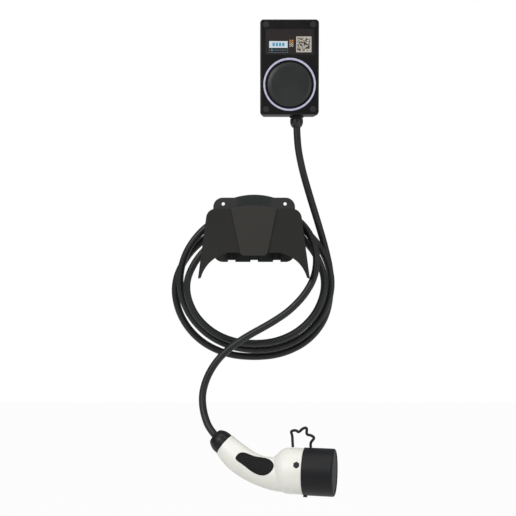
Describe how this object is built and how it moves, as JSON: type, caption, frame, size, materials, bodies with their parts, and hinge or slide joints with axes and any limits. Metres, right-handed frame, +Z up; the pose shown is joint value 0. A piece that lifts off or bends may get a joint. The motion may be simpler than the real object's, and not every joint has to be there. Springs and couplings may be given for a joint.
{
  "type": "ev wallbox",
  "caption": "Wall-mounted vehicle charging box with a light ring, a wall holder for its looped lead, and a vehicle plug with a tethered dust cap.",
  "frame": {"origin": "middle of the box's four wall-screw holes, on the wall face", "axes": "+Z up, -Y towards the viewer and away from the wall, +X to the right seen from the front"},
  "size_m": [0.2701, 0.2084, 0.7426],
  "materials": {
    "box_black": "satin black moulded plastic",
    "seal_rubber": "matte black rubber",
    "screw_steel": "zinc plated steel",
    "cap_grey": "dark grey moulded plastic",
    "label_film": "dark printed film with coloured fields",
    "light_guide": "frosted light guide, glowing",
    "surround_gloss": "glossy black",
    "disc_charcoal": "matte charcoal",
    "board_green": "green circuit board",
    "relay_plastic": "dark moulded component",
    "terminal_plastic": "light grey moulded plastic",
    "shield_can": "tinned sheet",
    "gland_plastic": "black nylon",
    "holder_plastic": "fine textured charcoal plastic",
    "cable_jacket": "black cable jacket with a soft sheen",
    "plug_black": "black moulded plastic",
    "plug_white": "warm white moulded plastic",
    "grip_rubber": "textured black rubber",
    "carrier_plastic": "black moulded plastic",
    "contact_metal": "silver plated contact",
    "cap_rubber": "black rubber with a blue tint",
    "strap_rubber": "black rubber"
  },
  "bodies": {
    "root": {"enclosure_base": "box_black", "enclosure_lid": "box_black", "lid_gasket": "seal_rubber", "lid_screws": "screw_steel", "screw_caps": "cap_grey", "front_label": "label_film", "light_guide_ring": "light_guide", "reader_surround": "surround_gloss", "reader_disc": "disc_charcoal", "led_board": "board_green", "reader_antenna": "board_green", "main_board": "board_green", "board_screws": "screw_steel", "power_relays": "relay_plastic", "power_supply_module": "relay_plastic", "residual_current_sensor": "relay_plastic", "terminal_block": "terminal_plastic", "radio_module": "shield_can", "supply_grommet": "seal_rubber", "gland_body": "gland_plastic", "gland_locknut": "gland_plastic", "gland_nut": "gland_plastic", "gland_seal": "seal_rubber", "cable_holder": "holder_plastic", "cable_lead": "cable_jacket", "cable_coil": "cable_jacket", "cable_tail": "cable_jacket", "plug_gland_nut": "plug_black", "plug_cable_sleeve": "seal_rubber", "plug_shell_left": "plug_white", "plug_shell_right": "plug_white", "plug_grip_left": "grip_rubber", "plug_grip_right": "grip_rubber", "plug_contact_carrier": "carrier_plastic", "plug_contacts": "contact_metal", "plug_screws": "screw_steel", "cap_tether": "strap_rubber"},
    "cap": {"dust_cap": "cap_rubber"}
  },
  "joints": [
    {"name": "cap_pull", "type": "slide", "parent": "root", "child": "cap", "axis": [0.9781, -0.2079, 0.0105], "range_m": [0, 0.045], "deforming": ["cap_tether"]}
  ]
}
